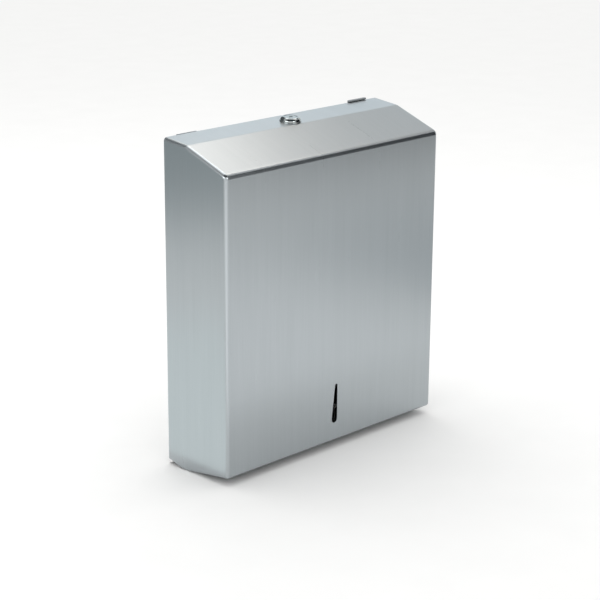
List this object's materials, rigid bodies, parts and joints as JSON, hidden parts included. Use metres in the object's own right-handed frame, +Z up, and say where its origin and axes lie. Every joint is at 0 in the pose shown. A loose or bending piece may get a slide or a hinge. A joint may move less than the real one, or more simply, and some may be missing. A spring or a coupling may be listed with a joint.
{
  "type": "paper towel dispenser",
  "caption": "Wall-mounted stainless dispenser for folded paper towels: hinged sheet hood with a tapered level slot, a key-turned hook lock on top and an open towel mouth below.",
  "frame": {"origin": "centre of the four wall screw holes, in the wall plane (the wall plate's rear face)", "axes": "+X to the right of someone facing the dispenser, +Y into the wall, +Z up; the front faces -Y"},
  "size_m": [0.285, 0.085, 0.3239],
  "materials": {
    "stainless_brushed": "brushed stainless steel, upright grain",
    "stainless_mill": "mill finish stainless steel",
    "zinc_steel": "zinc plated steel",
    "chrome_plate": "polished chrome plate",
    "nylon": "natural nylon",
    "buffer_rubber": "dusty grey rubber"
  },
  "bodies": {
    "wall_plate": {"wall_plate": "stainless_mill", "towel_shelf": "stainless_mill", "towel_guide_left": "stainless_mill", "towel_guide_right": "stainless_mill", "hinge_ear_left": "stainless_mill", "hinge_ear_right": "stainless_mill", "ear_rivets": "zinc_steel", "hinge_bush_left": "nylon", "hinge_bush_right": "nylon", "strike_bracket": "stainless_mill", "plate_studs": "zinc_steel", "flange_nuts": "zinc_steel", "tab_buffer": "buffer_rubber"},
    "hood": {"front_cover": "stainless_brushed", "hinge_stud_left": "zinc_steel", "hinge_stud_right": "zinc_steel", "hinge_clip_left": "zinc_steel", "hinge_clip_right": "zinc_steel", "stop_stud_left": "zinc_steel", "stop_stud_right": "zinc_steel", "lock_housing": "chrome_plate", "lock_nut": "zinc_steel", "lock_washer": "zinc_steel"},
    "lock_core": {"lock_plug": "chrome_plate", "lock_cam": "zinc_steel", "cam_spring_washer": "zinc_steel", "cam_screw": "zinc_steel"}
  },
  "joints": [
    {"name": "hood_hinge", "type": "hinge", "parent": "wall_plate", "child": "hood", "pos_m": [0, -0.02, -0.15], "axis": [1, 0, 0], "range_deg": [0, 75]},
    {"name": "lock_turn", "type": "hinge", "parent": "hood", "child": "lock_core", "pos_m": [0, -0.0215, 0.15855], "axis": [0, -0.0995, 0.995], "range_deg": [0, 90]}
  ]
}
